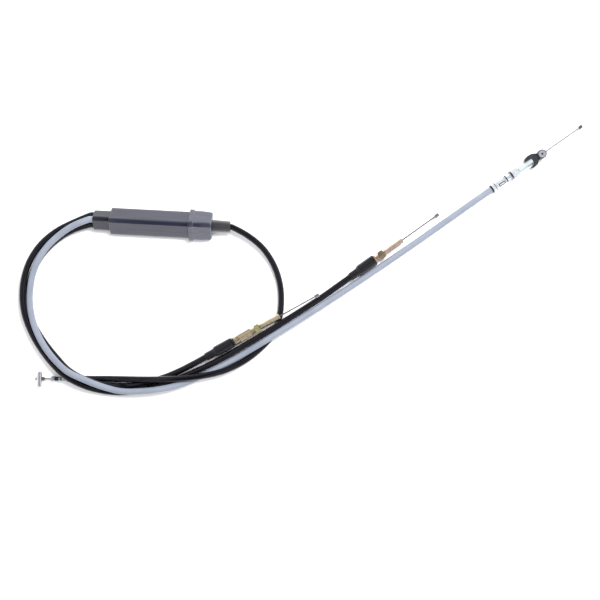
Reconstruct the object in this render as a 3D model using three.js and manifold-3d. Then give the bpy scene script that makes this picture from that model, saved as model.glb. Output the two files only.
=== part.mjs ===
// A throttle cable set with a junction box: one input cable from the hand lever pulls a slider,
// and the slider pulls three output cables, two to carburettors and one to an oil pump.
// Millimetres, +Z up. The origin is on the resting face, under the middle of the junction box.
// +X runs along the box towards the input cable.
import * as THREE from "three";
import { mergeVertices } from "three/addons/utils/BufferGeometryUtils.js";
import Module from "manifold-3d";

const wasm = await Module();
wasm.setup();

// ---- Driving dimensions ----

const GAP = 0.3; // left between pieces that touch

// Cable layers: outer radius, bore radius and number of sides
const JACKET = { outer: 3.1, bore: 2.6, sides: 8 };
const CONDUIT = { outer: 2.0, bore: 1.4, sides: 5 };
const LINER = { outer: 1.1, bore: 0.95, sides: 5 };
const CORE = { outer: 0.7, sides: 5 };
const WIRE_R = 0.65; // the sliding wire ends
const RING_STEP = 19; // distance between the cross-sections of a cable's layers

// Junction box: a prism with three round corners, lying on one flat side
const BOX = { corner: 5, spread: 16.5, start: -39, end: 39, bore: 7.6, boreStart: -31 };
const AXIS_Z = BOX.corner + BOX.spread / (2 * Math.sqrt(3));
const SPIGOT = { radius: 8.3, end: 46 };
const SLEEVE = { corner: 5, spread: 9.5, start: -55.5, bore: 3.45 };
const CAP = { corner: 6, spread: 20, end: 62, taper: 28 / 32 };
const NOSE = { tail: 47.1, end: 80, inner: 6.3, rim: 5.65, bore: 3.45 };
const PLUG = { start: 34, end: 45.5, radius: 7.3, seat: 36 };
const SLIDER = { start: -30, end: -16, radius: 7.3, pocket: 6 };
const WIRE_HOLE_R = 1.0;
const FERRULE = { outer: 3.5, bore: 3.2, wall: 1.2 };
const SEAT_R = FERRULE.outer + 0.15;
const BOX_HOUSING_END = -33.2; // where the output housings end inside the box
const OUTPUTS_STRAIGHT_TO = -58.5; // where the output cables begin to bend, outside the sleeve
const INLET_HOUSING_END = 37.6; // where the input housing ends inside the plug

// Output cables sit in the three lobes: angle about the box axis, in degrees
const LOBES = { pump: 90, carb1: 210, carb2: 330 };
const LOBE_R = SLEEVE.spread / Math.sqrt(3);

// Cable ends: the point where the fitting starts, its heading about Z and its climb, in degrees
const ENDS = {
  lever: { at: [-75, -159.4, 3.2], heading: 183, climb: 0 },
  carb1: { at: [89.5, -113.3, 7.8], heading: 32, climb: 3.5 },
  carb2: { at: [210.5, -36.2, 5.6], heading: 38.5, climb: 0 },
  pump: { at: [337, 51, 5.2], heading: 38, climb: 0 },
};

// Free lay of each cable from the box to its straight end, every point on the centreline
const LAY = {
  lever: [
    [97.5, -7.6, 9.4], [113, -19.2, 8], [125, -35.6, 5], [132.5, -56, 3.4], [134, -78, 3.2],
    [130, -99, 3.2], [119, -116, 3.2], [104, -129.6, 3.3], [95, -136, 4.4], [86, -141, 6.6],
    [72, -146, 9.4], [55, -150.2, 10.1], [36, -153, 10.6], [13, -155, 9.9], [-4, -156, 7.9],
    [-18, -156.6, 4.6],
  ],
  carb1: [
    [-84, -15.5, 4], [-101, -30, 3.2], [-113, -50, 3.2], [-118.8, -72, 3.2],
    [-116.8, -94, 3.2], [-107.2, -113.6, 3.2], [-93, -131.5, 4.2], [-71, -151.5, 9.5],
    [-54, -159.4, 9.8], [-38, -163.2, 6.9], [-22, -163.9, 3.3], [-2, -160.5, 3.2],
    [17.5, -154.5, 3.2], [34, -147, 3.6],
  ],
  carb2: [
    [-75, -3, 7], [-99, -18, 7], [-116, -41, 7.4], [-122.5, -66, 8.2], [-120.8, -92, 8.6],
    [-111.7, -115.2, 8.2], [-95.8, -137.9, 8.4], [-75.7, -156.2, 10.1], [-54, -166.1, 7.8],
    [-36, -169.8, 3.8], [-22, -170.2, 3.2], [-2, -167.1, 3.2], [18, -161.2, 3.2],
    [37, -153.2, 3.2], [57, -142.8, 3.2], [76.5, -132, 3.8], [97, -118.8, 7.6],
    [115, -106.8, 9.6], [134, -93.8, 9.7], [158, -76.8, 8],
  ],
  pump: [
    [-84.5, -14, 12.8], [-100, -28.6, 10.6], [-110.2, -46.5, 9.8], [-114.7, -67, 9.6],
    [-114.4, -88, 9.8], [-108.8, -108, 10.8], [-98.8, -126, 12.4], [-86, -140.8, 14.2],
    [-70.6, -152.6, 16.2], [-53.5, -159.3, 16.3], [-37.5, -164.7, 13.2], [-20, -168.3, 9.9],
    [0, -167.3, 9.7], [19, -164.3, 9.3], [38, -158.8, 7.2], [48, -155, 4.4], [60, -148.9, 3.3],
    [77, -139.8, 3.3], [95, -128.2, 5.2], [112.7, -116.3, 8.4], [131, -103.5, 9.8],
    [161, -82.8, 8], [210, -47.4, 3.6], [257.6, -11.2, 4.4],
  ],
};

// Straight length of housing kept behind each end fitting
const STRAIGHT = { lever: 42, carb1: 44, carb2: 42, pump: 22 };
// Where the housing ends inside each fitting, along the fitting's own axis
const SEATED_AT = { lever: 0, carb1: 7.4, carb2: 7.4, pump: 9.6 };

// Carburettor adjuster, along its own axis from its back face
const ADJUSTER = {
  back: 0.6, hexStart: 6.6, hexEnd: 20.6, tip: 52, collarR: 4.2, hexFlats: 8, threadR: 2.85,
  socketEnd: 9, bore: 1.6,
};
const LOCK_NUT = { start: 24, end: 29.5, flats: 8.4, bore: 3.05 };
const BOOT = {
  length: 30, narrowR: 4, narrowEnd: 8, shoulderEnd: 12, narrowBore: 3.4, boreStep: 7.5,
  boreFull: 11.2, wideBore: 4.75,
};
const BOOTS = { carb1: { start: -32, wideR: 5.25 }, carb2: { start: -11.5, wideR: 5.45 } };
const CARB_WIRE = { start: 42, nipple: 91.5, nippleEnd: 96.5, nippleR: 1.9 };

// Pump fitting, along its own axis from its back ring
const PUMP = {
  bodyStart: 1.5, bodyEnd: 17.3, bodyR: 4.5, threadR: 2.9, tip: 33, socketEnd: 11.2, bore: 1.6,
  socketR: 2.0, socketStart: 28,
};
const PUMP_RING = { start: 17.7, end: 18.7, radius: 4.3 };
const PUMP_WASHER = { start: 23.9, end: 25, radius: 4.5 };
const PUMP_NUT = { start: 25.3, flange: 26.6, end: 32.4, flats: 8.8, flangeR: 5.2 };
const GUIDE = { spigot: 28.5, start: 33.3, end: 50, radius: 2.5, spigotR: 1.7 };
const CLIP = {
  tips: 42.4, root: 50.4, hookRoot: 48.4, barrel: 60.8, barrelR: 4.5, neckHalf: 3.3, armHeight: 5.6,
  barrelBottom: -4.4, barrelTop: 6.4, sleeveSide: 2.8, wireHole: 1.1,
};
const PUMP_WIRE = { start: 44, nipple: 106.4, nippleEnd: 110.4, nippleR: 1.9 };

// Lever fitting, along its own axis from the end of the housing
const LEVER_FERRULE = { collarR: 3.0, collarEnd: 6.3, bodyR: 2.5, end: 15.4, grooveR: 1.9 };
const LEVER_BARREL = {
  at: 27.5, radius: 2.9, length: 14.9, coneStart: 22, coneR: 2.3, nubR: 1.3, nubEnd: 31.6,
};
const LEVER_WIRE_START = -40;

// ---- Materials ----

function plain(color, roughness, metalness = 0) {
  return new THREE.MeshStandardMaterial({ color, roughness, metalness });
}
const MATERIALS = {
  moulded: plain(0x2c2d34, 0.5),
  rubber: plain(0x1b1b1f, 0.7),
  blackJacket: plain(0x121215, 0.35),
  greyJacket: plain(0xb4bccb, 0.4),
  steel: plain(0xb9bcc0, 0.35, 0.9),
  darkSteel: plain(0x44464a, 0.4, 0.8),
  chrome: plain(0xd9dbde, 0.12, 1),
  zinc: plain(0xcdb878, 0.32, 0.9),
  zincSilver: plain(0xd5dadd, 0.25, 0.9),
  solder: plain(0xa9abae, 0.45, 0.8),
  acetal: plain(0x303238, 0.45),
  nylon: plain(0xe9eef0, 0.4),
  liner: plain(0xf0f0ea, 0.4),
};

// ---- Shape helpers ----

function solidOf(geometry) {
  const bare = geometry.clone();
  bare.deleteAttribute("normal");
  bare.deleteAttribute("uv");
  const merged = mergeVertices(bare, 1e-4);
  return new wasm.Manifold(
    new wasm.Mesh({
      numProp: 3,
      vertProperties: merged.attributes.position.array,
      triVerts: new Uint32Array(merged.index.array),
    }),
  );
}

function geometryOf(solid) {
  const mesh = solid.getMesh();
  const geometry = new THREE.BufferGeometry();
  geometry.setAttribute("position", new THREE.BufferAttribute(mesh.vertProperties, 3));
  geometry.setIndex(new THREE.BufferAttribute(mesh.triVerts, 1));
  geometry.computeVertexNormals();
  return geometry;
}

// A solid of revolution about the X axis from [x, radius] corners, listed towards +X
function turned(corners, sides = 16) {
  const profile = corners.map(([x, r]) => new THREE.Vector2(r, x));
  profile.unshift(new THREE.Vector2(0, corners[0][0]));
  profile.push(new THREE.Vector2(0, corners[corners.length - 1][0]));
  return new THREE.LatheGeometry(profile, sides).rotateZ(-Math.PI / 2);
}

function rod(x0, x1, radius, sides = 16) {
  return turned([[x0, radius], [x1, radius]], sides);
}

// A solid of revolution with a stepped bore cut through it
function bored(corners, boreCorners, sides = 16) {
  return geometryOf(solidOf(turned(corners, sides)).subtract(solidOf(turned(boreCorners, sides))));
}

function tube(x0, x1, outer, bore, sides = 16) {
  return bored([[x0, outer], [x1, outer]], [[x0 - 1, bore], [x1 + 1, bore]], sides);
}

// A hexagonal bar along X, measured across its flats, with a flat facing sideways
function hexBar(x0, x1, flats) {
  return rod(x0, x1, flats / Math.sqrt(3), 6);
}

// A round-cornered triangle with its apex up, centred on its centroid
function lobedShape(corner, spread) {
  const shape = new THREE.Shape();
  const reach = spread / Math.sqrt(3);
  for (const angle of [Math.PI / 2, (7 * Math.PI) / 6, (11 * Math.PI) / 6]) {
    const x = reach * Math.cos(angle);
    const y = reach * Math.sin(angle);
    shape.absarc(x, y, corner, angle - Math.PI / 3, angle + Math.PI / 3, false);
  }
  return shape;
}

// A flat shape drawn in Y and Z, pushed along X from x0 to x1 at the given height
function prism(shape, x0, x1, height, curveSegments = 5) {
  const geometry = new THREE.ExtrudeGeometry(shape, {
    depth: x1 - x0,
    bevelEnabled: false,
    curveSegments,
  });
  const toX = new THREE.Matrix4().makeBasis(
    new THREE.Vector3(0, 1, 0),
    new THREE.Vector3(0, 0, 1),
    new THREE.Vector3(1, 0, 0),
  );
  return geometry.applyMatrix4(toX).translate(x0, 0, height);
}

function lobePosition(cable) {
  const angle = THREE.MathUtils.degToRad(LOBES[cable]);
  return [LOBE_R * Math.cos(angle), AXIS_Z + LOBE_R * Math.sin(angle)];
}

function atLobe(geometry, cable) {
  const [y, z] = lobePosition(cable);
  return geometry.translate(0, y, z);
}

// ---- Scene graph helpers ----

const root = new THREE.Group();

function addPiece(name, geometry, material, parent = root) {
  const mesh = new THREE.Mesh(geometry, MATERIALS[material]);
  mesh.name = name;
  parent.add(mesh);
  return mesh;
}

// A group whose X axis runs outwards along a cable's end fitting
function endFrame(cable) {
  const { at, heading, climb } = ENDS[cable];
  const frame = new THREE.Group();
  frame.position.set(...at);
  frame.rotation.order = "ZYX";
  frame.rotation.z = THREE.MathUtils.degToRad(heading);
  frame.rotation.y = -THREE.MathUtils.degToRad(climb);
  frame.updateMatrix();
  root.add(frame);
  return frame;
}

const frames = {};
for (const cable of Object.keys(ENDS)) frames[cable] = endFrame(cable);

function pointInFrame(cable, x) {
  return new THREE.Vector3(x, 0, 0).applyMatrix4(frames[cable].matrix);
}

// ---- Cables ----

// A line that steps evenly from one listed distance along a spline to the next
class SteppedLine extends THREE.Curve {
  constructor(spline, distances) {
    super();
    this.spline = spline;
    this.distances = distances;
  }
  getPoint(t) {
    const place = t * (this.distances.length - 1);
    const step = Math.min(Math.floor(place), this.distances.length - 2);
    const [from, to] = this.distances.slice(step, step + 2);
    const distance = THREE.MathUtils.lerp(from, to, place - step);
    return this.spline.getPointAt(distance / this.spline.getLength());
  }
  getUtoTmapping(u) {
    return u;
  }
}

// Where a cable's cross-sections stand: each straight end is one step, the rest is even
function ringDistances(spline) {
  const { points } = spline;
  const total = spline.getLength();
  const first = points[0].distanceTo(points[1]);
  const last = total - points.at(-1).distanceTo(points.at(-2));
  const steps = Math.round((last - first) / RING_STEP);
  const even = Array.from({ length: steps + 1 }, (_, i) => first + ((last - first) * i) / steps);
  return [0, ...even, total];
}

// The straight part at a cable's junction box end: housing end, last straight point, exit
function boxEndPoints(cable) {
  if (cable === "lever") {
    return [INLET_HOUSING_END, NOSE.end + 1, NOSE.end + 6].map((x) => new THREE.Vector3(x, 0, AXIS_Z));
  }
  const [y, z] = lobePosition(cable);
  const along = [BOX_HOUSING_END, OUTPUTS_STRAIGHT_TO, OUTPUTS_STRAIGHT_TO - 3.5];
  return along.map((x) => new THREE.Vector3(x, y, z));
}

function cableSpline(cable) {
  const lay = LAY[cable].map((point) => new THREE.Vector3(...point));
  const straight = [-STRAIGHT[cable] - 5, -STRAIGHT[cable], SEATED_AT[cable]];
  const spline = new THREE.CatmullRomCurve3([
    ...boxEndPoints(cable),
    ...lay,
    ...straight.map((x) => pointInFrame(cable, x)),
  ]);
  spline.arcLengthDivisions = 1000;
  return spline;
}

function ringShape(radius, sides) {
  const shape = new THREE.Shape();
  for (let i = 0; i < sides; i++) {
    const angle = (2 * Math.PI * i) / sides;
    const [x, y] = [radius * Math.cos(angle), radius * Math.sin(angle)];
    if (i === 0) shape.moveTo(x, y);
    else shape.lineTo(x, y);
  }
  return shape;
}

function sweep(layer, spline, distances) {
  const shape = ringShape(layer.outer, layer.sides);
  if (layer.bore) shape.holes.push(ringShape(layer.bore, CONDUIT.sides));
  return new THREE.ExtrudeGeometry(shape, {
    steps: distances.length - 1,
    extrudePath: new SteppedLine(spline, distances),
  });
}

function buildCable(cable, jacketMaterial) {
  const spline = cableSpline(cable);
  const rings = ringDistances(spline);
  addPiece(`${cable}_jacket`, sweep(JACKET, spline, rings), jacketMaterial);
  addPiece(`${cable}_conduit`, sweep(CONDUIT, spline, rings), "darkSteel");
  addPiece(`${cable}_liner`, sweep(LINER, spline, rings), "liner");
  // The core wire stops where the sliding wire ends take over
  const coreRings = cable === "lever" ? rings.slice(1, -1) : rings.slice(1);
  addPiece(`${cable}_core_wire`, sweep(CORE, spline, coreRings), "steel");
}

// A cup pressed over the end of a housing, its end wall towards the given side
function ferrule(open, wall, side, flange) {
  const { outer, bore } = FERRULE;
  const inside = wall - side * FERRULE.wall;
  const spans = side > 0 ? [open, inside, wall] : [wall, inside, open];
  const body = solidOf(rod(Math.min(open, wall), Math.max(open, wall), outer));
  const cup = side > 0 ? rod(open - 1, spans[1], bore) : rod(spans[1], open + 1, bore);
  let solid = body;
  if (flange) solid = solid.add(solidOf(rod(flange.start, flange.end, flange.radius)));
  const hole = solidOf(rod(spans[0] - 1, spans[2] + 1, WIRE_HOLE_R));
  return geometryOf(solid.subtract(solidOf(cup)).subtract(hole));
}

// ---- Junction box ----

function splitterBody() {
  const shape = lobedShape(BOX.corner, BOX.spread);
  let solid = solidOf(prism(shape, BOX.start, BOX.end, AXIS_Z));
  const spigot = rod(BOX.end - 1, SPIGOT.end, SPIGOT.radius, 24).translate(0, 0, AXIS_Z);
  const bore = rod(BOX.boreStart, SPIGOT.end + 1, BOX.bore, 24).translate(0, 0, AXIS_Z);
  solid = solid.add(solidOf(spigot)).subtract(solidOf(bore));
  for (const cable of Object.keys(LOBES)) {
    const seat = rod(BOX.start - 1, BOX.boreStart + 0.5, SEAT_R);
    solid = solid.subtract(solidOf(atLobe(seat, cable)));
  }
  addPiece("splitter_body", geometryOf(solid), "moulded");
}

function outletSleeve() {
  const shape = lobedShape(SLEEVE.corner, SLEEVE.spread);
  let solid = solidOf(prism(shape, SLEEVE.start, BOX.start - GAP, AXIS_Z));
  for (const cable of Object.keys(LOBES)) {
    const hole = rod(SLEEVE.start - 1, BOX.start + 1, SLEEVE.bore);
    solid = solid.subtract(solidOf(atLobe(hole, cable)));
  }
  addPiece("outlet_sleeve", geometryOf(solid), "rubber");
}

function splitterCap() {
  const start = BOX.end + GAP;
  const base = CAP.corner + CAP.spread / (2 * Math.sqrt(3));
  const block = prism(lobedShape(CAP.corner, CAP.spread), start, CAP.end, base);
  // Narrow the far end towards the point under the axis on the resting face
  const corner = block.attributes.position;
  for (let i = 0; i < corner.count; i++) {
    if (corner.getX(i) > CAP.end - 1) {
      corner.setY(i, corner.getY(i) * CAP.taper);
      corner.setZ(i, corner.getZ(i) * CAP.taper);
    }
  }
  const spigotHole = rod(start - 1, SPIGOT.end + GAP, SPIGOT.radius + GAP, 24);
  const noseHole = rod(SPIGOT.end, CAP.end + 1, NOSE.inner + GAP, 24);
  const solid = solidOf(block)
    .subtract(solidOf(spigotHole.translate(0, 0, AXIS_Z)))
    .subtract(solidOf(noseHole.translate(0, 0, AXIS_Z)));
  addPiece("splitter_cap", geometryOf(solid), "moulded");
}

function inletNose() {
  const outside = [[NOSE.tail, NOSE.inner], [CAP.end, NOSE.inner], [NOSE.end, NOSE.rim]];
  const bore = [[NOSE.tail - 1, NOSE.bore], [NOSE.end + 1, NOSE.bore]];
  const nose = addPiece("inlet_nose", bored(outside, bore, 20), "rubber");
  nose.position.z = AXIS_Z;
}

function inletPlug() {
  const outside = [[PLUG.start, PLUG.radius], [PLUG.end, PLUG.radius]];
  const bore = [
    [PLUG.start - 1, WIRE_HOLE_R], [PLUG.seat, WIRE_HOLE_R], [PLUG.seat, SEAT_R],
    [PLUG.end + 1, SEAT_R],
  ];
  const plug = addPiece("inlet_plug", bored(outside, bore, 20), "acetal");
  plug.position.z = AXIS_Z;
}

// A hole that runs along X and opens outwards, so that a wire can be laid in from the side
function sideSlot(x0, x1, radius) {
  const box = new THREE.BoxGeometry(x1 - x0, 5, 2 * radius);
  box.translate((x0 + x1) / 2, 2.5, 0);
  return solidOf(rod(x0, x1, radius)).add(solidOf(box));
}

function slider() {
  const { start, end, radius, pocket } = SLIDER;
  let solid = solidOf(rod(start, end, radius, 24));
  solid = solid.subtract(solidOf(rod(start - 1, end + 1, WIRE_HOLE_R)));
  solid = solid.subtract(solidOf(rod(start - 1, start + pocket, 2.1)));
  for (const angle of Object.values(LOBES)) {
    const narrow = sideSlot(start - 1, end + 1, WIRE_HOLE_R);
    const wide = sideSlot(end - pocket, end + 1, 1.9);
    const slot = narrow.add(wide).translate([0, LOBE_R, 0]);
    solid = solid.subtract(slot.rotate([angle, 0, 0]));
  }
  const mesh = addPiece("slider", geometryOf(solid), "acetal");
  mesh.position.z = AXIS_Z;
}

function innerWires() {
  const inputNipple = [SLIDER.start + 0.4, SLIDER.start + SLIDER.pocket - 0.4];
  const outputNipple = [SLIDER.end - SLIDER.pocket + 0.4, SLIDER.end - 0.4];
  const place = (name, geometry, material, cable) => {
    const placed = cable === "lever" ? geometry.translate(0, 0, AXIS_Z) : atLobe(geometry, cable);
    addPiece(name, placed, material);
  };
  place("lever_inner_nipple", rod(...inputNipple, 1.8, 12), "solder", "lever");
  place("lever_inner_wire", rod(inputNipple[1] + GAP, 48, WIRE_R, 8), "steel", "lever");
  for (const cable of Object.keys(LOBES)) {
    place(`${cable}_inner_nipple`, rod(...outputNipple, 1.6, 12), "solder", cable);
    place(`${cable}_inner_wire`, rod(-52.5, outputNipple[0] - GAP, WIRE_R, 8), "steel", cable);
    const cup = ferrule(BOX.start - 0.2, BOX_HOUSING_END + 1.4, 1);
    place(`${cable}_inner_ferrule`, cup, "zincSilver", cable);
  }
  place("lever_inner_ferrule", ferrule(PLUG.end - 0.5, PLUG.seat + 0.2, -1), "zincSilver", "lever");
}

// ---- End fittings ----

function leverEnd() {
  const { collarR, collarEnd, bodyR, end, grooveR } = LEVER_FERRULE;
  const outside = [
    [GAP, collarR], [collarEnd, collarR], [collarEnd, bodyR], [11.6, bodyR], [11.6, grooveR],
    [12.6, grooveR], [12.6, bodyR], [end, bodyR],
  ];
  const bore = [[-1, WIRE_HOLE_R], [end + 1, WIRE_HOLE_R]];
  addPiece("lever_end_ferrule", bored(outside, bore), "zincSilver", frames.lever);

  const { at, radius, length, coneStart, coneR, nubR, nubEnd } = LEVER_BARREL;
  const barrel = solidOf(rod(-length / 2, length / 2, radius, 24).rotateZ(Math.PI / 2));
  const cone = solidOf(turned([[coneStart, 1], [at - 1, coneR]]));
  const nub = solidOf(rod(at, nubEnd, nubR, 12));
  const whole = barrel.translate([at, 0, 0]).add(cone).add(nub);
  addPiece("lever_barrel", geometryOf(whole), "chrome", frames.lever);
  const wire = rod(LEVER_WIRE_START, coneStart - GAP, WIRE_R, 8);
  addPiece("lever_wire_end", wire, "steel", frames.lever);
}

function adjuster() {
  const { back, hexStart, hexEnd, tip, collarR, hexFlats, threadR, socketEnd, bore } = ADJUSTER;
  const solid = solidOf(rod(back, hexStart + 1, collarR, 20))
    .add(solidOf(hexBar(hexStart, hexEnd, hexFlats)))
    .add(solidOf(rod(hexEnd - 1, tip, threadR, 20)))
    .subtract(solidOf(rod(back - 1, socketEnd, SEAT_R, 20)))
    .subtract(solidOf(rod(back, tip + 1, bore, 12)));
  return geometryOf(solid);
}

function nut(x0, x1, flats, bore) {
  return geometryOf(solidOf(hexBar(x0, x1, flats)).subtract(solidOf(rod(x0 - 1, x1 + 1, bore))));
}

function boot({ start, wideR }) {
  const { length, narrowR, narrowEnd, shoulderEnd } = BOOT;
  const outside = [[0, narrowR], [narrowEnd, narrowR], [shoulderEnd, wideR], [length, wideR]];
  const bore = [
    [-1, BOOT.narrowBore], [BOOT.boreStep, BOOT.narrowBore], [BOOT.boreFull, BOOT.wideBore],
    [length + 1, BOOT.wideBore],
  ];
  return bored(outside, bore, 20).translate(start, 0, 0);
}

function wireEnd(cable, { start, nipple, nippleEnd, nippleR }) {
  const frame = frames[cable];
  addPiece(`${cable}_wire_end`, rod(start, nipple - GAP, WIRE_R, 8), "steel", frame);
  addPiece(`${cable}_nipple`, rod(nipple, nippleEnd, nippleR, 16), "solder", frame);
}

function carbEnd(cable) {
  const frame = frames[cable];
  const flange = { start: -1.4, end: ADJUSTER.back - GAP, radius: 4 };
  const cup = ferrule(-1.4, SEATED_AT[cable] + 0.2 + FERRULE.wall, 1, flange);
  addPiece(`${cable}_end_ferrule`, cup, "darkSteel", frame);
  addPiece(`${cable}_adjuster`, adjuster(), "zinc", frame);
  const lockNut = nut(LOCK_NUT.start, LOCK_NUT.end, LOCK_NUT.flats, LOCK_NUT.bore);
  addPiece(`${cable}_lock_nut`, lockNut, "zinc", frame);
  addPiece(`${cable}_boot`, boot(BOOTS[cable]), "rubber", frame);
  wireEnd(cable, CARB_WIRE);
}

function pumpAdjuster() {
  const { bodyStart, bodyEnd, bodyR, threadR, tip, socketEnd, bore } = PUMP;
  const solid = solidOf(rod(bodyStart, bodyEnd, bodyR, 20))
    .add(solidOf(rod(bodyEnd - 1, tip, threadR, 20)))
    .subtract(solidOf(rod(bodyStart - 1, socketEnd, SEAT_R, 20)))
    .subtract(solidOf(rod(bodyStart, tip + 1, bore, 12)))
    .subtract(solidOf(rod(PUMP.socketStart, tip + 1, PUMP.socketR, 12)));
  return geometryOf(solid);
}

function pumpNut() {
  const { start, flange, end, flats, flangeR } = PUMP_NUT;
  const solid = solidOf(hexBar(flange - 1, end, flats))
    .add(solidOf(rod(start, flange, flangeR, 20)))
    .subtract(solidOf(rod(start - 1, end + 1, LOCK_NUT.bore)));
  return geometryOf(solid);
}

// A claw that hooks over the guide sleeve, with an upright barrel on the wire's line. The +Y arm
// lies along the sleeve, and the -Y arm curls round its end.
function clip() {
  const { tips, root: clawRoot, hookRoot, barrel, barrelR, neckHalf, sleeveSide } = CLIP;
  const outline = new THREE.Shape();
  outline.moveTo(tips, sleeveSide + 0.5);
  outline.lineTo(tips + 1.2, sleeveSide);
  outline.lineTo(clawRoot, sleeveSide);
  outline.lineTo(clawRoot, -sleeveSide);
  outline.quadraticCurveTo(clawRoot - 0.6, -sleeveSide - 1.4, hookRoot - 2.8, -sleeveSide - 1.8);
  outline.lineTo(tips + 0.7, -sleeveSide - 1.9);
  outline.quadraticCurveTo(hookRoot - 2, -6.9, clawRoot + 1.3, -6.3);
  outline.quadraticCurveTo(clawRoot + 3.2, -5.2, clawRoot + 4.6, -neckHalf);
  outline.lineTo(barrel, -neckHalf);
  outline.lineTo(barrel, neckHalf);
  outline.lineTo(barrel - 3.6, neckHalf);
  outline.quadraticCurveTo(clawRoot + 3.6, 6.6, clawRoot - 1.4, 6.6);
  outline.quadraticCurveTo(tips + 3.6, 6.4, tips + 1.4, 5.2);
  const options = { depth: CLIP.armHeight, bevelEnabled: false, curveSegments: 4 };
  const plate = new THREE.ExtrudeGeometry(outline, options).translate(0, 0, -CLIP.armHeight / 2);
  const post = rod(CLIP.barrelBottom, CLIP.barrelTop, barrelR, 20).rotateY(-Math.PI / 2);
  const solid = solidOf(plate)
    .add(solidOf(post.translate(barrel, 0, 0)))
    .subtract(solidOf(rod(clawRoot - 1, barrel + barrelR + 1, CLIP.wireHole, 12)));
  return geometryOf(solid);
}

function pumpEnd() {
  const frame = frames.pump;
  const flange = { start: -0.4, end: PUMP.bodyStart - GAP, radius: 4.2 };
  const cup = ferrule(-2, SEATED_AT.pump + 0.2 + FERRULE.wall, 1, flange);
  addPiece("pump_end_ferrule", cup, "darkSteel", frame);
  addPiece("pump_adjuster", pumpAdjuster(), "zincSilver", frame);
  const ring = (dims) => tube(dims.start, dims.end, dims.radius, LOCK_NUT.bore, 20);
  addPiece("pump_lock_ring", ring(PUMP_RING), "darkSteel", frame);
  addPiece("pump_washer", ring(PUMP_WASHER), "darkSteel", frame);
  addPiece("pump_nut", pumpNut(), "zincSilver", frame);
  const sleeve = [
    [GUIDE.spigot, GUIDE.spigotR], [GUIDE.start, GUIDE.spigotR], [GUIDE.start, GUIDE.radius],
    [GUIDE.end, GUIDE.radius],
  ];
  const sleeveBore = [[GUIDE.spigot - 1, WIRE_HOLE_R], [GUIDE.end + 1, WIRE_HOLE_R]];
  addPiece("pump_guide_sleeve", bored(sleeve, sleeveBore), "nylon", frame);
  addPiece("pump_clip", clip(), "moulded", frame);
  wireEnd("pump", PUMP_WIRE);
}

// ---- Assembly ----

splitterBody();
outletSleeve();
splitterCap();
inletNose();
inletPlug();
slider();
innerWires();
buildCable("lever", "blackJacket");
buildCable("carb1", "blackJacket");
buildCable("carb2", "blackJacket");
buildCable("pump", "greyJacket");
leverEnd();
carbEnd("carb1");
carbEnd("carb2");
pumpEnd();

export default root;
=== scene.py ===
"""Looks of the throttle cable set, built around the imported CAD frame.

The cables and the fittings at their ends are placed from the frame. The junction box lies along X over
the frame's origin. Lengths are in millimetres unless a name says otherwise; meshes are in metres.
"""

import math

import bmesh
import bpy
import numpy as np
from mathutils import Matrix, Vector


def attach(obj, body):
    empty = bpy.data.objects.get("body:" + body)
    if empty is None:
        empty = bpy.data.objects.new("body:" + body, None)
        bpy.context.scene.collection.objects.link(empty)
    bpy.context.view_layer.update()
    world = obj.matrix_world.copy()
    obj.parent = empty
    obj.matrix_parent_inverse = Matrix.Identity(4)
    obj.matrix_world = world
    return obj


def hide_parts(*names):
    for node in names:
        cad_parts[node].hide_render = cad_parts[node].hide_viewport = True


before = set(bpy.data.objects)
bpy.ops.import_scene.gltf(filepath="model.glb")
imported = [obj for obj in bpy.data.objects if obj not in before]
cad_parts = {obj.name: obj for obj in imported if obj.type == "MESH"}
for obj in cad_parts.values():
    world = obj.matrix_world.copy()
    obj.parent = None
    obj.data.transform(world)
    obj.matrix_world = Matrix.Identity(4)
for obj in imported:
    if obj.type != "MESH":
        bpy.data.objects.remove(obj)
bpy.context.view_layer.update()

MM = 0.001
CABLES = ("lever", "carb1", "carb2", "pump")
BLACK_CABLES = ("lever", "carb1", "carb2")
OUTPUTS = ("pump", "carb1", "carb2")

# ---- Driving dimensions ----

JACKET_R = 3.1
JACKET_BORE = 2.15
CONDUIT_R = 2.0
CONDUIT_BORE = 1.4
LINER_R = 1.1
LINER_BORE = 0.9
WIRE_R = 0.65
PATH_STEP = 2.0  # distance between the cross-sections of a smooth cable

# Where each housing ends inside its fitting, along the fitting's axis
SEATED_AT = {"lever": 0.0, "carb1": 7.4, "carb2": 7.4, "pump": 9.6}

# Junction box, along X. Its three mouldings share one kind of outline, explained at lobed_outline
BODY = {"corner": 5.0, "apex": 3.0, "crown": 5.7, "lean": -0.9, "spread": 16.5, "start": -39.0, "end": 39.0}
SLEEVE = {**BODY, "lean": 0.3, "spread": 9.5, "start": -55.5, "end": -39.3}
CAP = {"corner": 6.0, "apex": 3.9, "crown": 7.4, "lean": -0.9, "spread": 20.0, "start": 39.3, "end": 62.0}
CAP_TAPER = 28 / 32  # height of the cap's far end as a share of its near end
RIDGE = 0.3  # how far the narrow ridge on top of the box is blunted
AXIS_Z = BODY["corner"] + BODY["spread"] / (2 * math.sqrt(3))
LOBE_ANGLES = {"pump": 90.0, "carb1": 210.0, "carb2": 330.0}
LOBE_R = SLEEVE["spread"] / math.sqrt(3)
LEVER_SEAT_X = 37.6  # where the cables' housings end inside the box
OUTPUT_SEAT_X = -33.2
SLIDER_BORE_R = 7.6
SPIGOT_R = 8.3  # the body's round end, inside the cap
SPIGOT_END = 46.0
FERRULE_SEAT_R = 3.65
CABLE_HOLE_R = 3.3
NOSE_R = 6.3

# Carburettor fittings, along their own axis
CARB_HEX = {"start": 6.6, "end": 20.0, "flats": 8.0}
CARB_THREAD = {"start": 22.0, "end": 51.4, "radius": 2.85}
LOCK_NUT = {"start": 24.0, "end": 29.5, "flats": 8.4}
FERRULE_BORE_R = 3.65
WIRE_BORE_R = 1.6

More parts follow.
